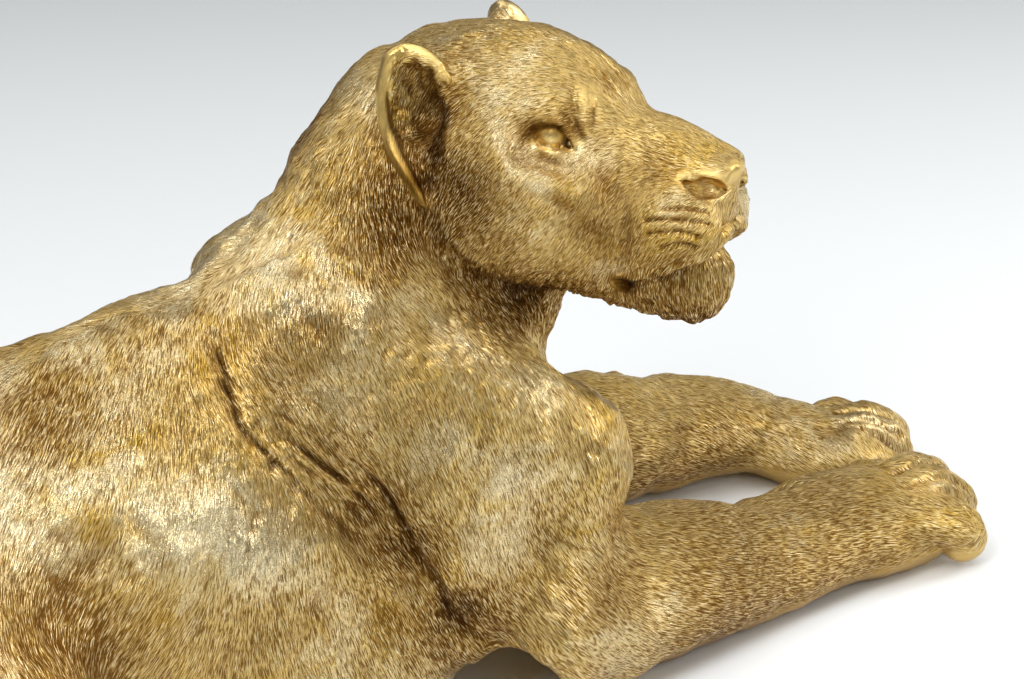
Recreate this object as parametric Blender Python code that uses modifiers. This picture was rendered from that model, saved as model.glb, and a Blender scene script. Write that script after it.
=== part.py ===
# Lioness statue, lying with the forelegs stretched out and the head raised and turned to its right.
# Metres, Z up, X toward the forepaws, Y toward the animal's left, Z = 0 at the flat underside.
# The form is given in centimetres of a live animal, as shares of the statue's length.

import math

import bmesh
import bpy
import numpy as np
from mathutils import Matrix, Vector

# Driving sizes
LENGTH = 1.13            # statue, tail to the farther forepaw's tip, m
LIFE_LENGTH = 174.0      # the same span on the live animal, cm
CM = LENGTH / LIFE_LENGTH
SEED_VOXEL = 1.5 * CM    # first skin
SKIN_VOXEL = 0.9 * CM    # second skin
TRIANGLES = 9300         # before the underside is cut flat
GOLD = (0.80, 0.60, 0.26, 1.0)

# Head: where the point between the eyes is, how the head is turned, and its size
HEAD_AT = (36.7, -11.8, 61.8)
HEAD_TURN = (-56.7, -8.7, -1.6)
HEAD_SCALE = 0.97

# Forepaws: wrist on the floor plane, yaw and size
NEAR_PAW = ((69.3, -6.4, 1.0), 4, 1.09)
FAR_PAW = ((79.0, 19.5, 0.2), -24, 0.98)

FLIP = np.diag([1.0, -1.0, 1.0])


def turned(yaw=0, pitch=0, roll=0):
    """Columns are the x, y and z axes after a yaw, a nose-up pitch and a roll, in degrees."""
    a, b, c = (math.radians(v) for v in (yaw, pitch, roll))
    rz = np.array([[math.cos(a), -math.sin(a), 0], [math.sin(a), math.cos(a), 0], [0, 0, 1]])
    ry = np.array([[math.cos(b), 0, -math.sin(b)], [0, 1, 0], [math.sin(b), 0, math.cos(b)]])
    rx = np.array([[1, 0, 0], [0, math.cos(c), -math.sin(c)], [0, math.sin(c), math.cos(c)]])
    return rz @ ry @ rx


class Egg:
    """An ellipsoid: its centre, half axes, blend width and turn; it adds flesh or cuts it."""

    def __init__(self, centre, half, blend, turn=(), cut=False, pair=False, axes=None):
        self.centre = np.array(centre, float)
        self.half = np.array(half, float)
        self.blend, self.cut, self.pair = blend, cut, pair
        self.axes = turned(*turn) if axes is None else axes
        self.reach = self.half.max()

    def moved(self, origin, axes, scale, flip=False):
        centre = self.centre @ FLIP if flip else self.centre
        own = FLIP @ self.axes @ FLIP if flip else self.axes
        return Egg(origin + axes @ centre * scale, self.half * scale, self.blend * scale,
                   cut=self.cut, axes=axes @ own)

    def distance(self, points):
        local = (points - self.centre) @ self.axes
        near = np.sqrt(((local / self.half) ** 2).sum(1))
        slope = np.sqrt(((local / self.half ** 2) ** 2).sum(1)) + 1e-9
        return near * (near - 1) / slope

    def seed(self, bm):
        frame = Matrix.Translation(Vector(self.centre)) @ Matrix(self.axes.tolist()).to_4x4()
        bmesh.ops.create_uvsphere(bm, u_segments=20, v_segments=12, radius=1,
                                  matrix=frame @ Matrix.Diagonal((*self.half, 1)))


def curve(path, steps):
    """The path's (x, y, z, radius) points with smooth steps put in between."""
    path = np.array(path, float)
    if len(path) < 3:
        return path
    ends = np.vstack([2 * path[0] - path[1], path, 2 * path[-1] - path[-2]])
    out = [path[0]]
    for before, start, end, after in zip(ends, ends[1:], ends[2:], ends[3:]):
        for t in np.linspace(0, 1, steps + 1)[1:]:
            out.append(0.5 * (2 * start + (end - before) * t
                              + (2 * before - 5 * start + 4 * end - after) * t ** 2
                              + (3 * start - before - 3 * end + after) * t ** 3))
    return np.array(out)


class Limb:
    """A rounded taper that follows (x, y, z, radius) points; it adds flesh or cuts it."""

    def __init__(self, path, blend, cut=False, pair=False, steps=3):
        self.path = curve(path, steps)
        self.blend, self.cut, self.pair = blend, cut, pair
        self.centre = (self.path[:, :3].min(0) + self.path[:, :3].max(0)) / 2
        spread = np.linalg.norm(self.path[:, :3] - self.centre, axis=1)
        self.reach = (spread + self.path[:, 3]).max()

    def moved(self, origin, axes, scale, flip=False):
        spots = self.path[:, :3] @ FLIP if flip else self.path[:, :3]
        path = np.column_stack([origin + spots @ axes.T * scale, self.path[:, 3] * scale])
        return Limb(path, self.blend * scale, self.cut, steps=1)

    def distance(self, points):
        value = np.full(len(points), np.inf)
        for start, end in zip(self.path, self.path[1:]):
            run = end[:3] - start[:3]
            share = np.clip(((points - start[:3]) @ run) / (run @ run), 0, 1)
            gap = np.linalg.norm(points - start[:3] - share[:, None] * run, axis=1)
            value = np.minimum(value, gap - start[3] - share * (end[3] - start[3]))
        return value

    def seed(self, bm):
        """Balls pulled apart at their equator, one for each step of the path."""
        for start, end in zip(self.path, self.path[1:]):
            verts = bmesh.ops.create_uvsphere(bm, u_segments=14, v_segments=10, radius=1)["verts"]
            turn = (Vector(end[:3]) - Vector(start[:3])).to_track_quat("Z", "Y").to_matrix()
            for vert in verts:
                ball = end if vert.co.z > -1e-6 else start
                vert.co = Vector(ball[:3]) + turn @ vert.co * float(ball[3])


def placed(lumps, origin=(0, 0, 0), turn=(), scale=1.0):
    """The lumps of one part set in the body, paired ones on both sides."""
    origin, axes = np.array(origin, float), turned(*turn)
    out = []
    for lump in lumps:
        out.append(lump.moved(origin, axes, scale))
        if lump.pair:
            out.append(lump.moved(origin, axes, scale, flip=True))
    return out


def field(lumps, points):
    """Signed distance to the blended form, taken lump by lump in order."""
    value = np.full(len(points), 30 * CM)
    for lump in lumps:
        gap = ((points - lump.centre) ** 2).sum(1)
        near = np.flatnonzero(gap < (lump.reach + lump.blend + 3 * CM) ** 2)
        if not len(near):
            continue
        old, new = value[near], lump.distance(points[near])
        if lump.cut:
            new = -new
        soft = np.clip(lump.blend - np.abs(old - new), 0, None) ** 2 / (4 * max(lump.blend, 1e-9))
        value[near] = np.maximum(old, new) + soft if lump.cut else np.minimum(old, new) - soft
    return value


def torso():
    return [
        Egg((2, 0, 21.8), (34, 17.0, 21.8), 0.1),
        Egg((-22, 0, 20.0), (31, 16.0, 21.0), 8),
        Egg((-49, 0, 22), (22, 14.5, 17), 9),
        Egg((27, 0, 20), (14, 12, 16), 6),
        Limb([(-60, 0, 31, 5), (-40, 0, 35.0, 5.5), (-20, 0, 36.8, 5), (-5, 0, 40.0, 5.5), (12, 0, 43.2, 6)], 7),
        Limb([(-30, 8, 8.5, 9), (14, 8, 8.0, 9)], 5, pair=True),
        Limb([(18, 0, 12, 7), (36, 0, 15, 8)], 6),
        Limb([(-42, 6.5, 35.0, 3.5), (-47, 9.5, 32.5, 3.5)], 5, pair=True),
    ]


def neck():
    return [
        Limb([(13, 0, 33, 12.6), (19.6, 0.5, 46, 12.2), (26.4, 2.5, 56, 10.9)], 6),
        Limb([(26, -2, 36, 9), (32, -4, 47, 7.5)], 5),
    ]


def shoulders():
    return [
        Limb([(7.5, 7.0, 45.4, 3.9), (15.5, 7.6, 46.0, 4.2)], 4, pair=True),
        Limb([(11, 8.6, 43, 5.0), (33, 13.0, 28, 6.5)], 4, pair=True),
        Egg((22, 12.8, 30), (13, 6.0, 10.5), 4, turn=(0, -35, 0), pair=True),
        Limb([(33.6, 11.5, 25, 7.2), (30, 14.0, 11, 7.4)], 4, pair=True),
        Egg((20, 14.8, 21), (8, 5.8, 12.5), 3, turn=(0, 22, 0), pair=True),
    ]


def forepaw(wrist, yaw, scale):
    """Back of the paw, its pad, and four toes that fan out and bend down at the knuckle."""
    lumps = [Egg((8.5, 0, 4.2), (9.5, 5.8, 4.2), 3), Egg((12.5, 0, 3.2), (6.8, 6.4, 4.2), 2.5)]
    for side, reach, lift in ((-4.9, 18.2, 5.4), (-1.7, 20.6, 6.5), (1.7, 20.8, 6.5), (4.9, 18.4, 5.4)):
        tip = side * 1.22
        lumps.append(Limb([(9, side * 0.75, lift - 0.8, 2.6), (reach - 5.6, side * 1.05, lift, 2.7),
                           (reach - 2.2, tip, lift - 1.6, 2.5), (reach - 1.4, tip, 2.2, 2.4)], 0.9))
    return placed(lumps, wrist, (yaw,), scale)


def forelegs():
    near = [Limb([(31, -13.0, 9.0, 8.6), (47, -10.9, 8.7, 8.4), (62, -9.0, 6.2, 6.2),
                  (76, -7.0, 5.8, 5.8)], 4),
            Limb([(62, -6.0, 6.8, 4.2), (71, -4.2, 6.8, 4.6), (80, -2.4, 6.0, 4.2)], 3)]
    far = [Limb([(34, 15.5, 10.5, 9.6), (52, 21.5, 9.6, 8.8), (66, 22.8, 7.8, 7.2), (78.5, 21.8, 6.4, 5.7),
                 (84, 18.0, 5.0, 4.6)], 4)]
    return near + forepaw(*NEAR_PAW) + far + forepaw(*FAR_PAW)


def hind_legs():
    """Folded hind legs: thigh, knee, shank and the foot lying along the floor."""
    return [
        Egg((-42, 15.5, 20.5), (19, 9.0, 18.0), 6, turn=(-8, 0, 0), pair=True),
        Limb([(-27.5, 20.5, 15.5, 7.0), (-38, 19.5, 18, 9)], 6, pair=True),
        Limb([(-27, 21, 14, 6.5), (-52, 20, 7, 5.5)], 5, pair=True),
        Limb([(-56, 21, 5.4, 5.0), (-46, 23, 4.6, 4.4), (-33, 25.0, 4.0, 4.0), (-29, 25.4, 3.6, 3.6)], 3,
             pair=True),
    ]


def tail():
    """The tail swings round the left haunch and lies against the foot."""
    path = [(-58, 0, 31, 6.0), (-67, 1.5, 24, 5.0), (-70.5, 7, 14, 4.0), (-68, 14, 7, 3.5),
            (-61, 20.5, 4.0, 3.2), (-52, 25.0, 3.2, 2.9), (-42, 27.6, 3.0, 2.8), (-34, 28.8, 3.2, 3.4),
            (-28, 29.2, 3.0, 2.8), (-24, 29.2, 2.2, 1.6)]
    return [Limb(path, 3, steps=4), Egg((-60, 9, 12), (9, 9, 10), 4)]


def shoulder_folds():
    """Folds of skin behind each upper arm, and the hollow under the chest behind the elbow."""
    behind_arm = [(10.4, -16.8, 32.4, 1.2), (11.6, -18.3, 29.0, 1.6), (13.0, -19.7, 24.9, 2.0),
                  (15.0, -20.7, 20.2, 2.4), (17.8, -20.7, 15.1, 2.6), (22.2, -20.3, 11.4, 2.4)]
    over_ribs = [(-0.8, -6.6, 45.1, 1.2), (-0.7, -10.1, 40.9, 1.6), (0.1, -13.4, 36.9, 1.8),
                 (3.8, -15.8, 32.5, 1.8), (8.2, -17.1, 26.8, 1.6), (12.3, -18.3, 20.5, 1.2)]
    under_blade = [(3.1, -12.8, 37.4, 1.0), (5.7, -14.9, 34.5, 1.4), (8.5, -16.2, 31.8, 1.2)]
    folds = [Limb(path, 1.0, cut=True, pair=True) for path in (behind_arm, over_ribs, under_blade)]
    folds.append(Egg((26.0, -15, -1), (6.6, 12, 11.5), 1.5, turn=(-20,), cut=True, pair=True))
    folds.append(Egg((-20.5, -17.5, 30.5), (5, 2.5, 4.5), 3, cut=True, pair=True))
    return folds


def head():
    """Skull, muzzle, jaw, cheeks, brows, eyes and ears, with x toward the nose."""
    mouth = [(17.0, 0, -9.6, 0.45), (15.2, 3.2, -10.6, 0.45), (12.0, 5.2, -12.0, 0.55),
             (9.0, 6.0, -13.2, 0.8)]
    lumps = [
        Egg((-9.5, 0, -1.2), (13.5, 9.2, 8.2), 0.5, turn=(0, 4, 0)),
        Egg((-3, 0, 0.6), (7.5, 7.2, 4.8), 4, turn=(0, -12, 0)),
        Limb([(2.5, 0, -1.6, 3.2), (13.2, 0, -1.2, 2.3)], 2.5),
        Egg((7.0, 0, -4.6), (10, 4.8, 4.4), 3),
        Egg((14.2, 0, -1.5), (2.5, 2.8, 2.0), 1.0),
        Egg((11.0, 3.2, -6.3), (5.9, 3.9, 4.2), 1.6, turn=(6,), pair=True),
        Egg((7.8, 4.2, -9.0), (5.5, 2.8, 4.0), 2.0, turn=(14,), pair=True),
        Limb([(-5, 3.8, -12.8, 4.2), (9.5, 1.6, -13.0, 3.7)], 2, pair=True),
        Egg((13.2, 0, -13.0), (4.1, 4.3, 3.9), 1.6),
        Egg((-6.2, 6.0, -8.6), (9, 5.0, 8.2), 4, pair=True),
        Limb([(3.0, 5.6, -4.6, 2.2), (-9, 9.0, -3.4, 2.4)], 3, pair=True),
        Limb([(2.4, 3.0, 2.0, 1.5), (-2.0, 5.2, 2.8, 1.6)], 1.5, pair=True),
        Egg((1.2, 7.2, -1.0), (4.2, 2.0, 2.1), 1.2, cut=True, pair=True),
        Egg((-1.4, 4.9, -0.9), (2.1, 2.1, 1.9), 0.3, pair=True),
        Egg((-14.8, 9.0, -0.4), (3.7, 2.7, 6.3), 1.6, turn=(0, 6, -12), pair=True),
        Limb([(-14.6, 9.4, -3, 2.2), (-12.2, 8.8, -9.4, 0.9)], 1.2, pair=True),
        Egg((-13.9, 11.5, 0.0), (2.6, 3.0, 4.8), 0.6, turn=(12, 6, -12), cut=True, pair=True),
        Limb([(-13.4, 11.2, -3, 1.4), (-12.0, 9.8, -9, 0.5)], 0.6, cut=True, pair=True),
        Limb([(16.6, 1.9, -2.3, 0.9), (12.0, 3.6, -1.9, 0.4)], 0.4, cut=True, pair=True),
        Limb([(17.6, 0, -4.5, 0.35), (17.4, 0, -9, 0.35)], 0.8, cut=True),
        Limb(mouth, 0.7, cut=True, pair=True),
    ]
    return placed(lumps, HEAD_AT, HEAD_TURN, HEAD_SCALE)


def form():
    """All lumps in metres, in the order in which they blend."""
    body = torso() + neck() + shoulders() + forelegs() + hind_legs() + tail() + shoulder_folds()
    return placed(body + head(), scale=CM)


def with_modifier(obj, kind, **settings):
    """The object's mesh is replaced by its own mesh under one modifier."""
    modifier = obj.modifiers.new(kind.lower(), kind)
    for name, value in settings.items():
        setattr(modifier, name, value)
    graph = bpy.context.evaluated_depsgraph_get()
    mesh = bpy.data.meshes.new_from_object(obj.evaluated_get(graph))
    obj.modifiers.clear()
    old, obj.data = obj.data, mesh
    bpy.data.meshes.remove(old)


def read(mesh, name):
    values = np.empty(len(mesh.vertices) * 3, np.float32)
    mesh.vertices.foreach_get(name, values)
    return values.reshape(-1, 3).astype(float)


def settle(obj, lumps, steps, limit):
    """Vertices move along their normals onto the form and even out across it between moves."""
    mesh = obj.data
    ends = np.empty(len(mesh.edges) * 2, np.int32)
    mesh.edges.foreach_get("vertices", ends)
    first, second = ends.reshape(-1, 2).T
    count = len(mesh.vertices)
    neighbours = np.bincount(first, minlength=count) + np.bincount(second, minlength=count)
    for step in range(steps):
        points, normals = read(mesh, "co"), read(mesh, "normal")
        points -= normals * np.clip(field(lumps, points), -limit, limit)[:, None]
        if step < steps - 1:
            middle = np.stack([np.bincount(first, points[second, i], count)
                               + np.bincount(second, points[first, i], count) for i in range(3)], 1)
            slide = middle / neighbours[:, None] - points
            slide -= normals * (slide * normals).sum(1)[:, None]
            points += 0.5 * slide
        mesh.vertices.foreach_set("co", points.astype(np.float32).ravel())
        mesh.update()


def seed_object(lumps):
    """One closed primitive for each lump of flesh, all in one mesh."""
    bm = bmesh.new()
    for lump in lumps:
        if not lump.cut:
            lump.seed(bm)
    mesh = bpy.data.meshes.new("lioness")
    bm.to_mesh(mesh)
    bm.free()
    obj = bpy.data.objects.new("lioness", mesh)
    bpy.context.scene.collection.objects.link(obj)
    return obj


def keep_largest(obj):
    """Crumbs that a cut leaves loose are taken away."""
    bm = bmesh.new()
    bm.from_mesh(obj.data)
    left, bodies = set(bm.verts), []
    while left:
        front, body = [left.pop()], set()
        while front:
            vert = front.pop()
            body.add(vert)
            front += [other for edge in vert.link_edges if (other := edge.other_vert(vert)) in left]
            left.difference_update(front)
        bodies.append(body)
    bodies.sort(key=len)
    for body in bodies[:-1]:
        bmesh.ops.delete(bm, geom=list(body), context="VERTS")
    bm.to_mesh(obj.data)
    bm.free()


def cut_underside(obj):
    """Everything below the floor plane is taken off with a box."""
    bpy.ops.mesh.primitive_cube_add(size=1, location=(0, 0, -LENGTH / 10),
                                    scale=(2 * LENGTH, LENGTH, LENGTH / 5))
    box = bpy.context.object
    with_modifier(obj, "BOOLEAN", operation="DIFFERENCE", solver="EXACT", object=box)
    bpy.data.objects.remove(box)


def finish_mesh(obj):
    """Triangles only, with the cut's slivers closed."""
    bm = bmesh.new()
    bm.from_mesh(obj.data)
    bmesh.ops.remove_doubles(bm, verts=bm.verts, dist=0.01 * CM)
    bmesh.ops.triangulate(bm, faces=bm.faces)
    bmesh.ops.recalc_face_normals(bm, faces=bm.faces)
    bm.to_mesh(obj.data)
    bm.free()
    obj.data.update()


def gold():
    material = bpy.data.materials.new("gold")
    material.use_nodes = True
    shader = material.node_tree.nodes["Principled BSDF"]
    shader.inputs["Base Color"].default_value = GOLD
    shader.inputs["Metallic"].default_value = 1.0
    shader.inputs["Roughness"].default_value = 0.35
    return material


for old in list(bpy.data.objects):
    bpy.data.objects.remove(old)
lumps = form()
lioness = seed_object(lumps)
with_modifier(lioness, "REMESH", mode="VOXEL", voxel_size=SEED_VOXEL)
settle(lioness, lumps, 5, 2 * CM)
with_modifier(lioness, "REMESH", mode="VOXEL", voxel_size=SKIN_VOXEL)
settle(lioness, lumps, 4, CM)
keep_largest(lioness)
skin = sum(len(face.vertices) - 2 for face in lioness.data.polygons)
with_modifier(lioness, "DECIMATE", decimate_type="COLLAPSE", ratio=TRIANGLES / skin)
cut_underside(lioness)
finish_mesh(lioness)
lioness.data.materials.clear()
lioness.data.materials.append(gold())
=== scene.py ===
# Gold-finished cast statue of a lying lioness: its carved surface, fur strokes and finish.
# The form is given in centimetres of a live animal, as shares of the statue's length.

import math

import bpy
import numpy as np
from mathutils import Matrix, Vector


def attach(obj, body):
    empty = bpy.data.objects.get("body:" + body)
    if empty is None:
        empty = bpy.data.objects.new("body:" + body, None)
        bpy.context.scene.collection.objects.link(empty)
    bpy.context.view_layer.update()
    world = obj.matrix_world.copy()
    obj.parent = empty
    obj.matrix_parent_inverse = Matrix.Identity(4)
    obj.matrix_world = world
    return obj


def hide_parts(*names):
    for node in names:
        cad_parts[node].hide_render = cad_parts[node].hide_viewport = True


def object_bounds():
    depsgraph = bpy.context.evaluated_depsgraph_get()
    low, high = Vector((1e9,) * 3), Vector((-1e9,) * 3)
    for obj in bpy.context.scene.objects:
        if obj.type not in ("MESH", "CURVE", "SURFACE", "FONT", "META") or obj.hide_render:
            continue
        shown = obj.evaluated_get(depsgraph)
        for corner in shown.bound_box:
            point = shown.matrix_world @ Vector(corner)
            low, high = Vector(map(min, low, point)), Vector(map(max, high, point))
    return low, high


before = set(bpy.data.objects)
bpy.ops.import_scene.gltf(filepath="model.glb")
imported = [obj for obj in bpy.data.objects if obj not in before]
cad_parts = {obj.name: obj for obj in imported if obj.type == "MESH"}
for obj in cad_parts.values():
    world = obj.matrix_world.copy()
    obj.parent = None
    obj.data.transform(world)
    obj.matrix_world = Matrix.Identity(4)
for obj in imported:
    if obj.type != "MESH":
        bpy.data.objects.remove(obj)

solid_box = [list(corner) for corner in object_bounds()]

# Scale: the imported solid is 174 cm of live animal long
LIFE_LENGTH = 174.0
CM = (solid_box[1][0] - solid_box[0][0]) / LIFE_LENGTH

# Skin: voxel size in the opened-up space, cm, and the number of triangles that are kept of it
VOXEL = 0.72
SETTLE_ROUNDS = 2
TRIANGLES = 195000
CHUNK = 8000

# Head: where the point between the eyes is, how the head is turned, and its size
HEAD_AT = (36.7, -11.8, 61.8)
HEAD_TURN = (-56.7, -8.7, -1.6)
HEAD_SCALE = 0.97

# Forepaws: wrist on the floor plane, yaw and size
NEAR_PAW = ((69.3, -6.4, 1.0), 4, 1.09)
FAR_PAW = ((79.0, 19.5, 0.2), -24, 0.98)

# Fur: depth of the locks in the mesh and of the hand-worked swellings, cm
LOCK_DEPTH = 0.07
SWELL_DEPTH = 0.17
SWELL_LENGTH = 9.0

# Fur strokes of the finish: length, width, depth of their relief and the fade at a patch's edge, m
STROKE_LENGTH = 0.0085
STROKE_WIDTH = 0.00078
STROKE_DEPTH = 0.0015
PATCH_FADE = 0.008

# The strokes lie in patches, in layers that cover each other's edges
LAYERS = 3
PATCHES = 1500
SEED = 11

# Kept whole when the skin is thinned: relief above this, cm, and skin this smooth from this height up, cm
KEPT_RELIEF = 0.05
KEPT_SMOOTH = 0.6
KEPT_ABOVE = 30

# Mirrors across the body's middle plane
FLIP = np.diag([1.0, -1.0, 1.0])


def turned(yaw=0, pitch=0, roll=0):
    """Columns are the x, y and z axes after a yaw, a nose-up pitch and a roll, in degrees."""
    a, b, c = (math.radians(v) for v in (yaw, pitch, roll))
    rz = np.array([[math.cos(a), -math.sin(a), 0], [math.sin(a), math.cos(a), 0], [0, 0, 1]])
    ry = np.array([[math.cos(b), 0, -math.sin(b)], [0, 1, 0], [math.sin(b), 0, math.cos(b)]])
    rx = np.array([[1, 0, 0], [0, math.cos(c), -math.sin(c)], [0, math.sin(c), math.cos(c)]])
    return rz @ ry @ rx


HEAD_AXES = turned(*HEAD_TURN)


def on_head(point):
    """A point given from between the eyes, x toward the nose, in the body's own frame."""
    return np.array(HEAD_AT) + HEAD_AXES @ np.array(point, float) * HEAD_SCALE


class Egg:
    """An ellipsoid: its centre, half axes, blend width and turn; it adds flesh or cuts it."""

    def __init__(self, centre, half, blend, turn=(), cut=False, pair=False, axes=None):
        self.centre = np.array(centre, float)
        self.half = np.array(half, float)
        self.blend, self.cut, self.pair = blend, cut, pair
        self.axes = turned(*turn) if axes is None else axes
        self.reach = self.half.max()

    def moved(self, origin, axes, scale, flip=False):
        centre = self.centre @ FLIP if flip else self.centre
        own = FLIP @ self.axes @ FLIP if flip else self.axes
        return Egg(origin + axes @ centre * scale, self.half * scale, self.blend * scale,
                   cut=self.cut, axes=axes @ own)

    def distance(self, points):
        local = (points - self.centre) @ self.axes
        near = np.sqrt(((local / self.half) ** 2).sum(1))
        slope = np.sqrt(((local / self.half ** 2) ** 2).sum(1)) + 1e-9
        return near * (near - 1) / slope


def curve(path, steps):
    """The path's points, whatever they hold, with smooth steps put in between."""
    path = np.array(path, float)
    if len(path) < 3:
        return path
    ends = np.vstack([2 * path[0] - path[1], path, 2 * path[-1] - path[-2]])
    out = [path[0]]
    for before, start, end, after in zip(ends, ends[1:], ends[2:], ends[3:]):
        for t in np.linspace(0, 1, steps + 1)[1:]:
            out.append(0.5 * (2 * start + (end - before) * t
                              + (2 * before - 5 * start + 4 * end - after) * t ** 2
                              + (3 * start - before - 3 * end + after) * t ** 3))
    return np.array(out)


class Limb:
    """A rounded taper that follows (x, y, z, radius) points; it adds flesh or cuts it."""

    def __init__(self, path, blend, cut=False, pair=False, steps=3):
        self.path = curve(path, steps)
        self.blend, self.cut, self.pair = blend, cut, pair
        self.centre = (self.path[:, :3].min(0) + self.path[:, :3].max(0)) / 2
        spread = np.linalg.norm(self.path[:, :3] - self.centre, axis=1)
        self.reach = (spread + self.path[:, 3]).max()

    def moved(self, origin, axes, scale, flip=False):
        spots = self.path[:, :3] @ FLIP if flip else self.path[:, :3]
        path = np.column_stack([origin + spots @ axes.T * scale, self.path[:, 3] * scale])
        return Limb(path, self.blend * scale, self.cut, steps=1)

    def distance(self, points):
        value = np.full(len(points), np.inf)
        for start, end in zip(self.path, self.path[1:]):
            run = end[:3] - start[:3]
            share = np.clip(((points - start[:3]) @ run) / (run @ run), 0, 1)
            gap = np.linalg.norm(points - start[:3] - share[:, None] * run, axis=1)
            value = np.minimum(value, gap - start[3] - share * (end[3] - start[3]))
        return value


class Crease:
    """A groove, or a ridge if its depth is below 0, that follows (x, y, z) points on the skin."""

    def __init__(self, path, width, depth, pair=False, slack=0.35):
        self.path = curve(path, 4)[:, :3]
        self.width, self.depth, self.pair, self.slack = width, depth, pair, slack

    def moved(self, origin, axes, scale, flip=False):
        spots = self.path @ FLIP if flip else self.path
        made = Crease(origin + spots @ axes.T * scale, self.width * scale, self.depth * scale,
                      slack=self.slack)
        made.path = origin + spots @ axes.T * scale
        return made

    def relief(self, points, normals):
        """Height at each point: the groove with low banks, measured across the skin."""
        reach = 4 * self.width
        low, high = self.path.min(0) - reach, self.path.max(0) + reach
        near = np.flatnonzero(((points > low) & (points < high)).all(1))
        height = np.zeros(len(points))
        best = np.full(len(near), np.inf)
        ends = np.ones(len(near))
        for step, (start, end) in enumerate(zip(self.path, self.path[1:])):
            run = end - start
            share = np.clip(((points[near] - start) @ run) / (run @ run), 0, 1)
            gap = points[near] - start - share[:, None] * run
            depth = (gap * normals[near]).sum(1)
            across = np.sqrt(np.clip((gap ** 2).sum(1) - (1 - self.slack ** 2) * depth ** 2, 0, None))
            closer = across < best
            best[closer] = across[closer]
            along = (step + share[closer]) / (len(self.path) - 1)
            ends[closer] = np.sin(np.pi * np.clip(along, 0.03, 0.97)) ** 0.5
        rate = best / self.width
        height[near] = -self.depth * ends * (np.exp(-rate ** 2) - 0.3 * np.exp(-(rate / 2.1) ** 2))
        return height


def placed(lumps, origin=(0, 0, 0), turn=(), scale=1.0):
    """The lumps of one part set in the body, paired ones on both sides."""
    origin, axes = np.array(origin, float), turned(*turn)
    out = []
    for lump in lumps:
        out.append(lump.moved(origin, axes, scale))
        if lump.pair:
            out.append(lump.moved(origin, axes, scale, flip=True))
    return out


def field(lumps, points, margin=3):
    """Signed distance, right to within the margin, to the blended form above the floor plane."""
    value = np.full(len(points), 30.0)
    for start in range(0, len(points), CHUNK):
        part = points[start:start + CHUNK]
        low, high = part.min(0), part.max(0)
        blended = value[start:start + CHUNK]
        for lump in lumps:
            limit = lump.reach + lump.blend + margin
            if ((np.clip(lump.centre, low, high) - lump.centre) ** 2).sum() > limit ** 2:
                continue
            near = np.flatnonzero(((part - lump.centre) ** 2).sum(1) < limit ** 2)
            if not len(near):
                continue
            old, new = blended[near], lump.distance(part[near])
            if lump.cut:
                new = -new
            soft = np.clip(lump.blend - np.abs(old - new), 0, None) ** 2 / (4 * max(lump.blend, 1e-9))
            blended[near] = np.maximum(old, new) + soft if lump.cut else np.minimum(old, new) - soft
    edge = 0.5
    under = -points[:, 2]
    return np.maximum(value, under) + np.clip(edge - np.abs(value - under), 0, None) ** 2 / (4 * edge)


def torso():
    return [
        Egg((2, 0, 21.8), (34, 17.0, 21.8), 0.1),
        Egg((-22, 0, 20.0), (31, 16.0, 21.0), 8),
        Egg((-49, 0, 22), (22, 14.5, 17), 9),
        Egg((27, 0, 20), (14, 12, 16), 6),
        Limb([(-60, 0, 31, 5), (-40, 0, 35.0, 5.5), (-20, 0, 36.8, 5), (-5, 0, 40.0, 5.5),
              (12, 0, 43.2, 6)], 7),
        Limb([(-30, 8, 8.5, 9), (14, 8, 8.0, 9)], 5, pair=True),
        Limb([(18, 0, 12, 7), (36, 0, 15, 8)], 6),
        Limb([(-42, 6.5, 35.0, 3.5), (-47, 9.5, 32.5, 3.5)], 5, pair=True),
    ]


def neck():
    return [
        Limb([(13, 0, 33, 12.6), (19.6, 0.5, 46, 12.2), (26.4, 2.5, 56, 10.9)], 6),
        Limb([(26, -2, 36, 9), (32, -4, 47, 7.5)], 5),
    ]


def shoulders():
    return [
        Limb([(7.5, 7.0, 45.4, 3.9), (15.5, 7.6, 46.0, 4.2)], 4, pair=True),
        Limb([(11, 8.6, 43, 5.0), (33, 13.0, 28, 6.5)], 4, pair=True),
        Egg((22, 12.8, 30), (13, 6.0, 10.5), 4, turn=(0, -35, 0), pair=True),
        Limb([(33.6, 11.5, 25, 7.2), (30, 14.0, 11, 7.4)], 4, pair=True),
        Egg((20, 14.8, 21), (8, 5.8, 12.5), 3, turn=(0, 22, 0), pair=True),
    ]


def forepaw(wrist, yaw, scale):
    """Back of the paw, its pad, and four toes that fan out and bend down at the knuckle."""
    lumps = [Egg((8.5, 0, 4.2), (9.5, 5.8, 4.2), 3), Egg((12.5, 0, 3.2), (6.8, 6.4, 4.2), 2.5)]
    for side, reach, lift in ((-4.9, 18.2, 5.4), (-1.7, 20.6, 6.5), (1.7, 20.8, 6.5), (4.9, 18.4, 5.4)):
        tip = side * 1.22
        lumps.append(Limb([(9, side * 0.75, lift - 0.8, 2.6), (reach - 5.6, side * 1.05, lift, 2.7),
                           (reach - 2.2, tip, lift - 1.6, 2.5), (reach - 1.4, tip, 2.2, 2.4)], 0.3))
    return placed(lumps, wrist, (yaw,), scale)


def forelegs():
    near = [Limb([(31, -13.0, 9.0, 8.6), (47, -10.9, 8.7, 8.4), (62, -9.0, 6.2, 6.2),
                  (76, -7.0, 5.8, 5.8)], 4),
            Limb([(62, -6.0, 6.8, 4.2), (71, -4.2, 6.8, 4.6), (80, -2.4, 6.0, 4.2)], 3)]
    far = [Limb([(34, 15.5, 10.5, 9.6), (52, 21.5, 9.6, 8.8), (66, 22.8, 7.8, 7.2), (78.5, 21.8, 6.4, 5.7),
                 (84, 18.0, 5.0, 4.6)], 4)]
    return near + forepaw(*NEAR_PAW) + far + forepaw(*FAR_PAW)


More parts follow.
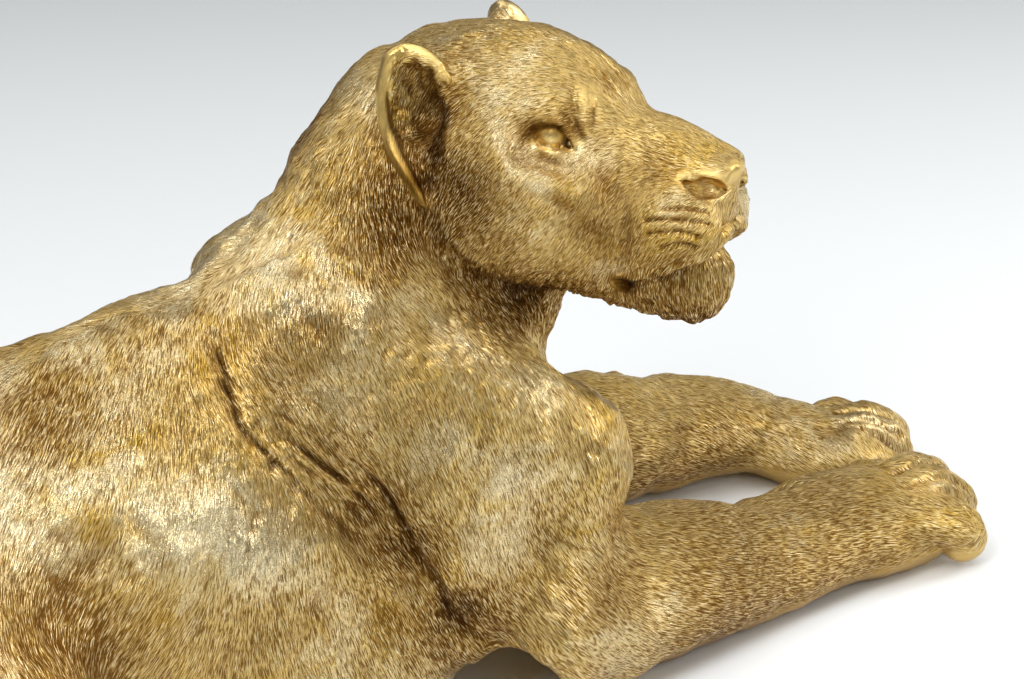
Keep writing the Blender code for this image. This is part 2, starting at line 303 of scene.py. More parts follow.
def hind_legs():
    """Folded hind legs: thigh, knee, shank and the foot lying along the floor."""
    return [
        Egg((-42, 15.5, 20.5), (19, 9.0, 18.0), 6, turn=(-8, 0, 0), pair=True),
        Limb([(-27.5, 20.5, 15.5, 7.0), (-38, 19.5, 18, 9)], 6, pair=True),
        Limb([(-27, 21, 14, 6.5), (-52, 20, 7, 5.5)], 5, pair=True),
        Limb([(-56, 21, 5.4, 5.0), (-46, 23, 4.6, 4.4), (-33, 25.0, 4.0, 4.0), (-29, 25.4, 3.6, 3.6)], 3,
             pair=True),
    ]


def tail():
    """The tail swings round the left haunch and lies against the foot."""
    path = [(-58, 0, 31, 6.0), (-67, 1.5, 24, 5.0), (-70.5, 7, 14, 4.0), (-68, 14, 7, 3.5),
            (-61, 20.5, 4.0, 3.2), (-52, 25.0, 3.2, 2.9), (-42, 27.6, 3.0, 2.8), (-34, 28.8, 3.2, 3.4),
            (-28, 29.2, 3.0, 2.8), (-24, 29.2, 2.2, 1.6)]
    return [Limb(path, 3, steps=4), Egg((-60, 9, 12), (9, 9, 10), 4)]


# Lines of the skin's folds on the near side: behind the upper arm, over the ribs and under the shoulder blade
ARM_FOLD = [(10.4, -16.8, 32.4), (11.6, -18.3, 29.0), (13.0, -19.7, 24.9), (15.0, -20.7, 20.2),
            (17.8, -20.7, 15.1), (22.2, -20.3, 11.4)]
RIB_FOLD = [(-0.8, -6.6, 45.1), (-0.7, -10.1, 40.9), (0.1, -13.4, 36.9), (3.8, -15.8, 32.5),
            (8.2, -17.1, 26.8), (12.3, -18.3, 20.5)]
BLADE_FOLD = [(3.1, -12.8, 37.4), (5.7, -14.9, 34.5), (8.5, -16.2, 31.8)]


def shoulder_folds():
    """Folds of skin behind each upper arm, and the hollow under the chest behind the elbow."""
    arm = np.column_stack([ARM_FOLD, (0.6, 0.9, 1.3, 1.8, 2.2, 2.2)])
    ribs = np.column_stack([RIB_FOLD, (0.3, 0.5, 0.8, 0.9, 0.8, 0.5)])
    blade = np.column_stack([BLADE_FOLD, (0.4, 0.6, 0.5)])
    paths = ((arm, 1.2), (ribs, 2.4), (blade, 2.4))
    folds = [Limb(path, blend, cut=True, pair=True) for path, blend in paths]
    folds.append(Egg((26.0, -15, -1), (6.6, 12, 11.5), 2.4, turn=(-20,), cut=True, pair=True))
    folds.append(Egg((-20.5, -17.5, 30.5), (5, 2.5, 4.5), 3, cut=True, pair=True))
    return folds


EYEBALL = Egg((-1.2, 5.2, -0.6), (1.85, 1.8, 1.75), 0.1, pair=True)
EAR_RIM = [(-11.1, 9.6, 2.9, 0.4), (-13.0, 9.8, 4.6, 0.5), (-14.7, 10.1, 5.2, 0.5), (-16.1, 10.5, 5.0, 0.5),
           (-17.1, 11.0, 3.6, 0.55), (-17.1, 11.6, 0.6, 0.55), (-16.5, 11.8, -1.6, 0.55),
           (-15.9, 11.8, -3.2, 0.55), (-14.9, 11.9, -4.7, 0.6), (-13.3, 12.3, -6.0, 0.5),
           (-11.3, 12.7, -7.7, 0.4), (-10.3, 12.9, -8.8, 0.3)]
EAR_INNER_RIM = [(-16.9, 10.4, 2.4, 0.25), (-17.0, 10.7, -0.6, 0.4), (-15.9, 11.0, -3.6, 0.4),
                 (-14.0, 11.4, -5.2, 0.35), (-12.0, 12.0, -7.0, 0.25)]
EAR_HOLE = (-13.0, 8.8, -1.4)


def skull():
    """Skull, bridge, muzzle pads, jaw, chin, cheeks and brows."""
    return [
        Egg((-9.5, 0, -1.2), (13.5, 9.2, 8.2), 0.5, turn=(0, 4, 0)),
        Egg((-3, 0, 0.6), (7.5, 7.2, 4.8), 4, turn=(0, -12, 0)),
        Limb([(2.5, 1.7, -0.9, 2.8), (8.5, 1.5, -0.3, 2.4), (13.6, 1.2, -0.7, 2.0)], 2.0, pair=True),
        Egg((7.0, 0, -4.6), (10, 4.8, 4.4), 3),
        Egg((11.0, 3.2, -6.1), (5.9, 3.8, 4.4), 1.6, turn=(6,), pair=True),
        Egg((7.8, 4.0, -9.0), (5.5, 2.8, 4.2), 2.0, turn=(14,), pair=True),
        Limb([(-5, 3.8, -12.8, 4.2), (9.5, 1.6, -13.0, 3.9)], 2, pair=True),
        Egg((13.2, 0, -12.8), (4.7, 4.5, 4.6), 1.4),
        Egg((-6.2, 6.0, -8.6), (9, 5.0, 8.2), 4, pair=True),
        Limb([(3.0, 5.6, -4.8, 2.2), (-9, 9.0, -3.6, 2.4)], 3, pair=True),
        Limb([(2.4, 3.0, 1.4, 1.4), (-2.6, 5.4, 2.7, 1.7)], 1.5, pair=True),
        Egg((1.4, 3.3, 2.5), (1.5, 1.8, 1.8), 1.0, pair=True),
    ]


def eyes():
    """Socket, ball, lids and the tear duct."""
    upper_lid = [(-2.9, 5.9, -1.5, 0.4), (-2.3, 6.6, -0.2, 0.5), (-1.4, 7.0, 0.95, 0.58),
                 (-0.3, 6.6, 1.1, 0.52), (0.5, 6.1, 0.2, 0.42), (1.4, 5.7, -0.7, 0.36),
                 (2.6, 5.2, -1.05, 0.28)]
    lower_lid = [(-2.9, 5.9, -1.6, 0.4), (-1.9, 6.6, -2.1, 0.42), (-0.4, 6.7, -2.2, 0.42),
                 (0.9, 6.2, -2.0, 0.4), (1.9, 5.6, -1.95, 0.35), (2.9, 5.1, -1.8, 0.28)]
    duct = [(0.5, 5.9, -0.7, 0.55), (1.3, 5.6, -1.15, 0.4), (2.1, 5.3, -1.4, 0.28), (2.9, 5.1, -1.5, 0.2)]
    return [
        Egg((0.4, 9.5, -0.8), (4.2, 3.1, 3.0), 2.2, cut=True, pair=True),
        Egg((-1.0, 6.3, -0.6), (1.7, 1.3, 1.45), 0.2, cut=True, pair=True),
        Limb(duct, 0.2, cut=True, pair=True),
        EYEBALL,
        Limb(upper_lid, 0.25, pair=True),
        Limb(lower_lid, 0.25, pair=True),
        Egg((0.95, 5.1, -1.0), (0.4, 0.35, 0.4), 0.1, pair=True),
    ]


def ears():
    """Cupped ears: body, root, smooth rims, hollow, the hole at its bottom and the slit below it."""
    return [
        Egg((-14.3, 8.9, -0.6), (3.4, 2.7, 6.1), 1.6, turn=(0, 6, -12), pair=True),
        Limb([(-14.6, 9.4, -3, 2.2), (-12.2, 8.8, -9.4, 0.9)], 1.2, pair=True),
        Egg((-13.5, 11.5, 0.0), (2.7, 3.0, 4.7), 0.6, turn=(12, 6, -12), cut=True, pair=True),
        Egg(EAR_HOLE, (1.6, 2.0, 2.4), 0.7, turn=(0, -12, 0), cut=True, pair=True),
        Limb([(-13.6, 11.2, -2.0, 1.5), (-12.6, 11.7, -4.6, 1.1), (-11.0, 12.3, -6.7, 0.7),
              (-10.2, 12.9, -8.4, 0.35)], 0.6, cut=True, pair=True),
        Limb([(-11.4, 10.4, 1.6, 0.5), (-11.0, 11.0, -0.6, 0.9), (-10.8, 11.7, -3.2, 0.9),
              (-10.8, 12.4, -6.4, 0.5)], 0.9, cut=True, pair=True),
        Limb(EAR_RIM, 0.5, pair=True),
        Limb(EAR_INNER_RIM, 0.3, pair=True),
    ]


def nose_and_mouth():
    """Nose leather, nostrils with their rims, the groove below the nose, lips and mouth."""
    nostril = [(11.0, 3.9, -1.75, 0.2), (12.6, 3.9, -2.1, 0.42), (13.9, 3.7, -2.3, 0.65)]
    rim = [(12.4, 3.5, -1.1, 0.2), (13.6, 3.5, -0.75, 0.3), (14.8, 3.2, -0.75, 0.36),
           (15.8, 2.7, -0.85, 0.36), (16.4, 2.15, -1.5, 0.36), (16.6, 2.2, -2.1, 0.33),
           (16.1, 2.9, -2.9, 0.3), (14.8, 3.5, -3.2, 0.25)]
    lip = [(17.0, 1.2, -6.2, 0.5), (16.8, 2.8, -6.9, 0.55), (15.8, 4.2, -8.5, 0.6), (13.4, 5.2, -10.2, 0.65),
           (10.7, 5.8, -11.8, 0.65), (8.8, 6.0, -12.5, 0.5)]
    mouth = [(17.2, 0, -8.0, 0.3), (16.9, 2.7, -7.9, 0.3), (15.8, 4.5, -9.5, 0.3), (13.4, 5.6, -11.3, 0.32),
             (10.7, 6.2, -12.9, 0.4)]
    return [
        Limb([(14.9, -1.3, -0.7, 1.75), (14.9, 1.3, -0.7, 1.75)], 0.8),
        Limb([(15.2, 0, -0.8, 1.6), (15.9, 0, -3.6, 0.9)], 0.6),
        Limb(nostril, 0.3, cut=True, pair=True),
        Egg((15.0, 3.6, -2.0), (1.5, 1.5, 1.0), 0.3, turn=(-20,), cut=True, pair=True),
        Limb(rim, 0.2, pair=True),
        Limb([(17.6, 0, -4.2, 0.3), (17.6, 0, -8, 0.35)], 0.8, cut=True),
        Limb(lip, 0.5, pair=True),
        Limb(mouth, 0.3, cut=True, pair=True),
        Egg((9.2, 6.5, -13.2), (1.1, 1.1, 0.55), 0.3, cut=True, pair=True),
    ]


def under_jaw():
    """The groove that parts the cheeks and jaw from the neck."""
    return [Limb([(-10.2, 13.6, -9.2, 0.4), (-9.0, 13.2, -11.1, 0.7), (-7.9, 12.8, -12.7, 0.9),
                  (-6.4, 11.9, -14.8, 1.1), (-4.3, 10.0, -16.7, 1.3), (-2.7, 8.6, -17.5, 1.4),
                  (-0.4, 4.5, -19.0, 1.4)], 1.0, cut=True, pair=True)]


def head():
    lumps = skull() + under_jaw() + eyes() + ears() + nose_and_mouth()
    return placed(lumps, HEAD_AT, HEAD_TURN, HEAD_SCALE)


def form():
    """All lumps in the order in which they blend."""
    body = torso() + neck() + shoulders() + forelegs() + hind_legs() + tail() + shoulder_folds()
    return placed(body) + head()


def paired_creases(folds):
    """Creases on both sides from rows of path, width and depth."""
    return [Crease(path, width, depth, pair=True) for path, width, depth in folds]


def whisker_rows():
    """Four rows on each muzzle pad: a shallow furrow with short deep dashes along it."""
    rows = [([(11.6, 6.7, -4.3), (13.9, 5.8, -3.6), (16.0, 4.2, -3.8)], 6),
            ([(10.4, 7.1, -5.6), (13.8, 6.3, -4.7), (16.4, 4.5, -4.8)], 7),
            ([(11.0, 7.2, -6.8), (14.1, 6.6, -5.8), (16.2, 5.3, -6.1)], 6),
            ([(12.6, 6.9, -7.9), (14.4, 6.3, -7.0), (15.8, 5.5, -7.2)], 4)]
    pits = []
    for path, count in rows:
        pits.append(Crease(path, 0.3, 0.38, pair=True))
        line = curve(path, 5 * count)[::5]
        for place in range(count * 2):
            first, last = line[place], line[place + 1] * 0.7 + line[place] * 0.3
            pits.append(Crease([first, (first + last) / 2 + (0, 0, -0.1), last], 0.2, 0.5, pair=True))
    return pits


def face_creases():
    """Folds round eye and brow, cheek ridge, mouth's corner, nose's edge and the hair in the ear."""
    folds = [
        ([(-2.4, 7.5, -2.1), (-1.3, 7.2, -2.6), (-0.4, 7.0, -2.8), (0.8, 7.0, -2.9),
          (2.2, 6.8, -2.8)], 0.28, 0.3),
        ([(-1.0, 8.0, -3.0), (0.4, 7.6, -3.4), (2.0, 7.3, -3.4)], 0.25, 0.2),
        ([(-3.0, 8.2, 0.6), (-2.2, 8.0, 2.0), (-1.0, 7.2, 2.9), (0.0, 6.3, 3.2)], 0.4, 0.35),
        ([(0.1, 5.1, 4.6), (0.6, 5.7, 3.7), (1.0, 6.1, 2.9), (0.9, 5.8, 2.1)], 0.26, 0.5),
        ([(2.6, 4.6, 3.6), (2.9, 5.0, 2.4), (3.0, 5.2, 1.2)], 0.4, 0.3),
        ([(0.2, 6.6, 2.2), (1.1, 6.4, 1.5), (1.7, 6.1, 0.4), (2.4, 5.8, -0.4)], 0.45, 0.45),
        ([(-0.6, 1.6, 6.0), (0.8, 1.5, 5.3), (2.0, 1.4, 4.5), (3.6, 1.1, 3.4)], 0.3, 0.55),
        ([(1.0, 4.6, 4.6), (1.4, 4.8, 3.4), (1.9, 5.2, 1.9), (2.6, 5.4, 0.6)], 0.6, -0.5),
        ([(4.6, 5.6, -0.8), (5.4, 6.2, -3.0), (6.4, 6.8, -5.4)], 1.1, 0.6),
        ([(7.4, 6.9, -4.4), (8.6, 7.0, -6.7), (8.8, 7.0, -9.3), (8.6, 6.8, -11.0)], 0.8, 0.5),
        ([(-2.5, 9.6, -3.5), (-1.1, 9.2, -4.0), (0.0, 8.7, -4.1), (1.8, 8.4, -4.4),
          (3.6, 8.0, -5.1)], 0.8, -0.65),
        ([(-2.4, 9.8, -5.2), (-0.6, 9.4, -5.6), (1.6, 8.9, -6.2), (3.6, 8.2, -7.4)], 0.9, 0.6),
        ([(9.9, 6.5, -12.0), (8.6, 6.6, -12.4), (8.0, 6.4, -13.3), (8.9, 6.1, -14.3),
          (10.8, 5.5, -14.2)], 0.3, -0.4),
        ([(16.6, 0.0, 1.1), (16.2, 1.4, 0.5), (16.1, 2.0, -0.4)], 0.2, 0.12),
        ([(11.0, 5.0, -1.0), (9.4, 5.2, -1.8), (8.2, 5.6, -3.0)], 0.3, 0.3),
    ]
    return paired_creases(folds) + ear_hair()


def ear_hair():
    """Curved tufts that stand out of the ear's hollow, ridges and grooves by turns."""
    tufts = []
    for place in range(12):
        turn = math.radians(215 - 17 * place)
        hair = [(-13.2 + far * math.cos(turn + twist), deep, -0.6 + 1.5 * far * math.sin(turn + twist))
                for far, deep, twist in ((1.2, 8.8, 0.5), (1.9, 9.2, 0.25), (2.6, 9.9, 0.1), (3.2, 10.7, 0))]
        tufts.append(Crease(hair, 0.2, -0.3 if place % 2 else 0.35, pair=True, slack=0.15))
    return tufts


# Lines on the skin between which the wrinkles of the shoulder fan out: over the ribs, between, behind the arm
WRINKLE_LINES = [
    [(-0.6, -5.7, 44.5), (-0.4, -9.0, 40.5), (-0.5, -11.5, 37.3), (3.2, -14.2, 32.7), (7.9, -15.8, 26.5),
     (12.4, -17.1, 21.1)],
    [(0.0, -8.7, 41.0), (2.7, -12.1, 36.6), (5.1, -13.5, 34.4), (8.6, -15.5, 30.4), (11.4, -17.2, 25.7),
     (14.9, -18.7, 19.6)],
    [(2.1, -10.7, 39.3), (7.1, -13.8, 35.3), (11.1, -16.5, 30.6), (13.2, -18.2, 25.9), (16.0, -19.1, 20.3),
     (20.1, -18.3, 13.4)]]
WRINKLES = 11


def wrinkles():
    """Fine wrinkles that fan out between the fold over the ribs and the fold behind the arm."""
    ribs, middle, arm = (curve(line, 4) for line in WRINKLE_LINES)
    chance = np.random.default_rng(SEED)
    lines = []
    for place in range(WRINKLES):
        share = 2 * place / (WRINKLES - 1)
        path = ribs + (middle - ribs) * share if share < 1 else middle + (arm - middle) * (share - 1)
        start, end = chance.integers(0, 7), chance.integers(14, 21)
        sway = chance.normal(0, 0.18, 3)
        lines.append(Crease((path + sway)[start:end:3], chance.uniform(0.26, 0.4), chance.uniform(0.4, 0.8),
                            pair=True, slack=0.2))
    return lines


def body_creases():
    """Deep folds of the shoulder, its blade, tendons and wrist bones of the forelegs, swirls on the flank."""
    folds = [
        ([(9.4, -15.3, 33.1), (12.2, -17.3, 28.8), (14.3, -18.7, 23.1), (16.0, -19.1, 20.3),
          (17.8, -18.6, 16.1), (20.1, -18.3, 13.4), (23.4, -18.4, 11.0)], 0.55, 1.0),
        ([(9.9, -16.4, 28.2), (11.4, -17.2, 25.7), (13.1, -18.1, 23.0), (14.9, -18.7, 19.6)], 0.4, 0.7),
        ([(-0.6, -5.7, 44.5), (-0.4, -9.8, 39.5), (-0.5, -11.5, 37.3), (1.0, -12.9, 35.1), (5.5, -15.2, 29.7),
          (7.9, -15.8, 26.5), (10.2, -16.3, 23.8)], 0.7, 0.6),
        ([(3.1, -12.4, 36.7), (5.1, -13.5, 34.4), (7.5, -14.8, 31.9), (10.8, -16.3, 30.4)], 0.4, 0.6),
        ([(5.2, -9.2, 47.6), (7.2, -11.6, 46.4), (8.2, -13.1, 44.5), (9.5, -14.2, 42.2)], 1.3, 0.7),
        ([(1.6, -1.9, 47.4), (3.5, -3.4, 48.0), (7.1, -4.8, 50.2), (10.4, -6.7, 51.4),
          (15, -12.2, 48.3)], 1.3, -0.8),
        ([(-20.4, -15, 26), (-17.2, -16, 27), (-15, -16, 29), (-13.8, -16, 30.5)], 1.0, -0.5),
        ([(-22.3, -14.3, 30.4), (-19.4, -14, 31.6), (-15.5, -14.6, 31.5)], 1.2, 0.5),
    ]
    return wrinkles() + paired_creases(folds) + [
        Crease([(52, -17, 13), (60, -15, 10.5), (68, -12.5, 9)], 0.9, 0.3),
        Crease([(60, 16.5, 12.5), (70, 16.5, 9.8), (77, 15.5, 8.6)], 0.7, 0.5),
        Crease([(79, 15, 9.5), (84, 14.5, 9.5), (87, 13, 9)], 0.9, -0.5),
    ]


def toe_creases():
    """Furrows between a forepaw's toes, from the back of the paw to the floor."""
    furrows = []
    for side in (-3.3, 0, 3.3):
        path = [(10, side * 0.75, 7.6), (14, side * 0.95, 8.8), (18, side * 1.1, 7.6),
                (20.5, side * 1.2, 4.0)]
        furrows.append(Crease(path, 0.45, 0.7, slack=0.2))
    return furrows


def all_creases():
    creases = placed(face_creases() + whisker_rows(), HEAD_AT, HEAD_TURN, HEAD_SCALE) + placed(body_creases())
    for wrist, yaw, scale in (NEAR_PAW, FAR_PAW):
        creases += placed(toe_creases(), wrist, (yaw,), scale)
    return creases


# Spots that are opened up, so that even cells come out finer there: centre, reach and gain
SPOTS = [((9, -15, 30), 13, 0.8), ((37, -15, 57), 20, 1.0), ((87, -6, 6), 12, 0.4), ((90, 12, 6), 12, 0.3),
         (on_head((0, -5.4, -0.6)), 4.0, 1.0), (on_head((14, -4.5, -5.0)), 5, 0.8),
         (on_head((-14, -10.5, -1)), 6, 0.4), (on_head((0, 5.4, -0.6)), 3.5, 0.5)]


def opened(points, back=False):
    """Space opened up around the spots."""
    table = np.linspace(0, 400, 8001)
    for centre, reach, gain in reversed(SPOTS) if back else SPOTS:
        stretched = table + gain * reach * np.tanh(table / reach)
        offset = points - centre
        near = np.linalg.norm(offset, axis=1)
        new = np.interp(near, stretched, table) if back else np.interp(near, table, stretched)
        points = centre + offset * (new / np.maximum(near, 1e-9))[:, None]
    return points


class Skin:
    """The statue's quads as arrays: points in cm of live animal, normals and neighbours."""

    def __init__(self, mesh):
        self.mesh = mesh
        corners = np.empty(len(mesh.loops), np.int32)
        mesh.loops.foreach_get("vertex_index", corners)
        quads = corners.reshape(-1, 4)
        self.sides = np.vstack([quads[:, [k, (k + 1) % 4]] for k in range(4)])
        self.links = np.vstack([self.sides, quads[:, [0, 2]], quads[:, [1, 3]]])
        self.count = len(mesh.vertices)

    def read(self, name="co"):
        values = np.empty(self.count * 3, np.float32)
        self.mesh.vertices.foreach_get(name, values)
        return values.reshape(-1, 3).astype(float)

    def points(self):
        return self.read() / CM

    def write(self, points):
        self.mesh.vertices.foreach_set("co", (points * CM).astype(np.float32).ravel())
        self.mesh.update()

    def gathered(self, links, values, weights=None):
        """For each vertex, the sum of its neighbours' values and of the weights."""
        first, second = links.T
        weights = np.ones(len(links)) if weights is None else weights
        total = np.bincount(first, weights * values[second], self.count)
        total += np.bincount(second, weights * values[first], self.count)
        share = np.bincount(first, weights, self.count) + np.bincount(second, weights, self.count)
        return total, share

    def evened(self, values, rounds):
        """Values averaged with their neighbours' again and again."""
        if values.ndim == 2:
            return np.stack([self.evened(column, rounds) for column in values.T], 1)
        for _ in range(rounds):
            total, share = self.gathered(self.sides, values)
            values = 0.5 * values + 0.5 * total / share
        return values

    def settle(self, lumps, rounds, limit):
        """Vertices move along their normals onto the form and even out across it between moves."""
        for step in range(rounds):
            points, normals = self.points(), self.read("normal")
            points -= normals * np.clip(field(lumps, points), -limit, limit)[:, None]
            if step < rounds - 1:
                slide = self.evened(points, 1) - points
                slide -= normals * (slide * normals).sum(1)[:, None]
                points += slide
            self.write(points)


CORNERS = np.array([(i, j, k) for i in (0, 1) for j in (0, 1) for k in (0, 1)])
CELL_EDGES = [(a, b) for a in range(8) for b in range(a + 1, 8) if abs(CORNERS[a] - CORNERS[b]).sum() == 1]


def cells_near(lumps, low, shape):
    """Cells of the opened space that the form's surface may cross, found by halving larger ones."""
    steps = (np.arange(0, count, 8) for count in shape)
    cells = np.stack(np.meshgrid(*steps, indexing="ij"), -1).reshape(-1, 3)
    for size in (8, 4, 2):
        middle = opened(low + (cells + size / 2) * VOXEL, back=True)
        corner = opened(low + cells * VOXEL, back=True)
        reach = 2.3 * np.linalg.norm(middle - corner, axis=1)
        cells = cells[np.abs(field(lumps, middle, reach.max())) < reach]
        cells = (cells[:, None] + CORNERS * (size // 2)).reshape(-1, 3)
    return cells


def grown(lumps):
    """The form's surface as points and quads: a vertex in each cell that it crosses."""
    box = np.array(solid_box) / CM
    lattice = np.stack(np.meshgrid(*(np.linspace(a, b, 15) for a, b in box.T), indexing="ij"), -1)
    spread = opened(lattice.reshape(-1, 3))
    low = spread.min(0) - 8 * VOXEL
    shape = (np.ceil((spread.max(0) - low) / VOXEL / 8) + 1).astype(int) * 8
    strides = np.array([(shape[1] + 1) * (shape[2] + 1), shape[2] + 1, 1])
    cells = cells_near(lumps, low, shape)
    corners = cells @ strides
    nodes = np.unique((corners[:, None] + CORNERS @ strides).ravel())
    places = np.stack([nodes // strides[0], nodes // strides[1] % (shape[1] + 1), nodes % strides[1]], 1)
    value = np.full((shape + 1).prod(), 9.0)
    value[nodes] = field(lumps, opened(low + places * VOXEL, back=True))
    around = value[corners[:, None] + CORNERS @ strides]
    mixed = (around < 0).any(1) & (around >= 0).any(1)
    cells, corners, around = cells[mixed], corners[mixed], around[mixed]
    total, crossed = np.zeros((len(cells), 3)), np.zeros((len(cells), 1))
    for first, second in CELL_EDGES:
        start, end = around[:, first, None], around[:, second, None]
        hit = (start < 0) != (end < 0)
        share = np.where(hit, start / np.where(hit, start - end, 1), 0)
        total += hit * (CORNERS[first] + share * (CORNERS[second] - CORNERS[first]))
        crossed += hit
    vertex = np.full((shape + 1).prod(), -1)
    vertex[corners] = np.arange(len(cells))
    quads = []
    for axis in range(3):
        side, other = strides[(axis + 1) % 3], strides[(axis + 2) % 3]
        start, end = around[:, 0] < 0, around[:, 1 << (2 - axis)] < 0
        for way, hit in ((1, start & ~end), (-1, ~start & end)):
            spot = corners[hit]
            loop = np.stack([spot, spot - side, spot - side - other, spot - other], 1)[:, ::way]
            quads.append(vertex[loop])
    points = opened(low + (cells + total / crossed) * VOXEL, back=True)
    return largest(points, np.vstack(quads))


def largest(points, quads):
    """The largest of the separate surfaces, which leaves out crumbs and sealed bubbles."""
    label = np.arange(len(points))
    while True:
        low = label[quads].min(1)
        new = label.copy()
        np.minimum.at(new, quads.ravel(), low.repeat(4))
        new = new[new]
        if (new == label).all():
            break
        label = new
    kept = label == np.bincount(label).argmax()
    place = np.cumsum(kept) - 1
    return points[kept], place[quads[kept[quads[:, 0]]]]


def fine_skin(lumps):
    """The statue's surface, denser where the carving is finer."""
    points, quads = grown(lumps)
    mesh = bpy.data.meshes.new("lioness_cast")
    mesh.from_pydata((points * CM).tolist(), [], quads.tolist())
    mesh.update()
    statue = bpy.data.objects.new("lioness_cast", mesh)
    bpy.context.scene.collection.objects.link(statue)
    return statue, Skin(mesh)


# Fur: (place, direction from root to tip), mirrored on the other side; head rows are in the head's frame
BODY_FUR = [
    ((-20, -10, 38), (-0.6, -0.5, -0.6)), ((-6, -14, 34), (-0.3, -0.5, -0.8)),
    ((3, -16, 29), (-0.1, -0.3, -1)), ((-14, -17, 22), (-0.6, 0, -0.8)),
    ((-14, -4, 44), (-0.6, -0.7, -0.4)), ((-5, -4, 45), (-0.5, -0.7, -0.5)),
    ((1, -10, 40), (0.3, -0.7, -0.7)), ((7, -15, 32), (0.6, -0.2, -0.8)),
    ((13, -18, 23), (0.5, -0.2, -0.9)), ((6, -17, 20), (0.2, 0.1, -1)), ((6, -5, 50), (-0.7, -0.6, -0.4)),
    ((8, -10, 49), (-0.4, -0.6, -0.7)), ((10, -14, 40), (0.3, -0.2, -0.9)),
    ((18, -13, 45), (0.6, -0.1, -0.8)), ((23, -13, 43), (0.4, -0.6, -0.7)),
    ((20, -18, 38), (0.2, -0.4, -0.9)), ((28, -19, 32), (0.3, -0.2, -0.9)),
    ((36, -16, 33), (0.1, -0.8, -0.5)), ((22, -20, 23), (0.2, 0, -1)), ((27, -20, 16), (0.5, -0.4, -0.8)),
    ((31, -22, 11), (0.7, 0, -0.7)), ((41, -16, 17), (0.9, -0.2, -0.4)), ((47, -18, 13), (0.9, 0, -0.4)),
    ((59, -15, 10), (0.9, 0.2, -0.3)), ((73, -12, 10), (1, 0, -0.1)), ((83, -12, 10), (0.6, -0.8, -0.1)),
    ((9, -3, 52), (-0.6, 0, -0.8)), ((13, -4, 55), (-0.6, -0.2, -0.8)), ((16, -8, 54), (0, -0.6, -0.8)),
    ((19, -12, 47), (0.7, 0, -0.8)), ((28, -12, 45), (0.5, 0.2, -0.8)), ((17, -2, 61), (-0.5, -0.6, -0.7)),
    ((-42, -24, 28), (-0.5, 0, -0.85)), ((-28, -25, 16), (-0.1, 0, -1)),
    ((-58, -10, 30), (-0.8, -0.2, -0.6)), ((-45, -25, 4), (1, 0, 0)), ((-66, 6, 20), (-0.2, 0.3, -0.9)),
    ((-50, -20, 10), (-0.3, 0, -1)),
]
FAR_FUR = [
    ((64, 21, 15), (0.9, -0.2, -0.4)), ((74, 17, 10), (0.7, -0.3, -0.7)), ((82, 14, 8), (0.4, -0.8, -0.4)),
    ((90, 10, 8), (0, -0.8, -0.6)), ((-58, 23, 5), (0.9, 0.4, 0)), ((-36, 29, 4), (1, 0, 0)),
]
HEAD_FUR = [
    ((-15, 5, 5), (-0.9, 0, -0.3)), ((-9, 8, 3), (-1, 0.1, -0.3)), ((-4, 5, 6), (-0.9, 0.4, -0.1)),
    ((-8, 10, 0), (-0.4, 0.6, -0.7)), ((-8, 11, -5), (-0.3, -0.1, -0.9)), ((-1, 10, -5), (-0.5, 0.2, -0.9)),
    ((-5, 11, -11), (-0.6, 0.1, -0.8)), ((1, 8, -14), (-0.7, 0.1, -0.7)), ((4, 0.5, 3), (-0.9, 0, 0.4)),
    ((11, 1, 1), (-1, 0.2, 0.2)), ((7, 4, 0), (-0.8, 0.4, 0.4)), ((4, 6, -2), (-0.2, 0.7, -0.7)),
    ((6, 7, -6), (-0.2, 0, -1)), ((14, 6, -5), (-0.3, 0.4, -0.9)), ((14, 5, -9), (-0.4, 0.2, -0.8)),
    ((16, 3, -12), (0.5, -0.1, -0.9)), ((11, 5, -15), (0.3, -0.5, -0.8)), ((5, 6, -15), (-0.5, -0.3, -0.8)),
    ((-15, 10, 0), (-0.1, 0, -1)), ((-14, 0, 7), (-1, 0, 0)), ((4, 0, -17), (-0.9, 0, -0.3)),
]


def fur_guides():
    """Places and directions of all guides in the body's frame."""
    guides = []
    for place, way in BODY_FUR:
        guides += [(np.array(place, float), np.array(way, float)), (place @ FLIP, way @ FLIP)]
    guides += [(np.array(place, float), np.array(way, float)) for place, way in FAR_FUR]
    for place, way in HEAD_FUR:
        for side in (np.eye(3), FLIP):
            guides.append((on_head(place @ side), HEAD_AXES @ (way @ side)))
    places, ways = (np.array(rows) for rows in zip(*guides))
    return places, ways / np.linalg.norm(ways, axis=1)[:, None]


def fur_flow(points, normals):
    """The way the fur lies at each point, along the skin."""
    flow = np.zeros_like(points)
    for place, way in zip(*fur_guides()):
        gap = ((points - place) ** 2).sum(1)
        flow += way / (gap[:, None] + 9) ** 2
    flow -= normals * (flow * normals).sum(1)[:, None]
    return flow / (np.linalg.norm(flow, axis=1)[:, None] + 1e-12)


def locks(skin, flow):
    """Random heights drawn out along the fur, so that they stand as locks of hair."""
    points = skin.points()
    first, second = skin.links.T
    run = points[second] - points[first]
    run /= np.linalg.norm(run, axis=1)[:, None] + 1e-9
    along = np.abs((run * (flow[first] + flow[second]) / 2).sum(1)) ** 8 + 0.01
    height = np.random.default_rng(SEED).normal(size=skin.count)
    for _ in range(9):
        total, share = skin.gathered(skin.links, height, along)
        height = 0.35 * height + 0.65 * total / share
    return height / height.std()


def swellings(points):
    """Low swellings and dips of hand-worked clay, broad ones and small ones."""
    chance = np.random.default_rng(SEED)
    height = np.zeros(len(points))
    for length, share in ((SWELL_LENGTH, 1.0), (SWELL_LENGTH * 0.38, 0.32)):
        for _ in range(30):
            way = chance.normal(size=3)
            way *= 2 * math.pi / (length * chance.uniform(0.6, 1.6) * np.linalg.norm(way))
            height += share * np.cos(points @ way + chance.uniform(0, 2 * math.pi))
    return height / math.sqrt(15)


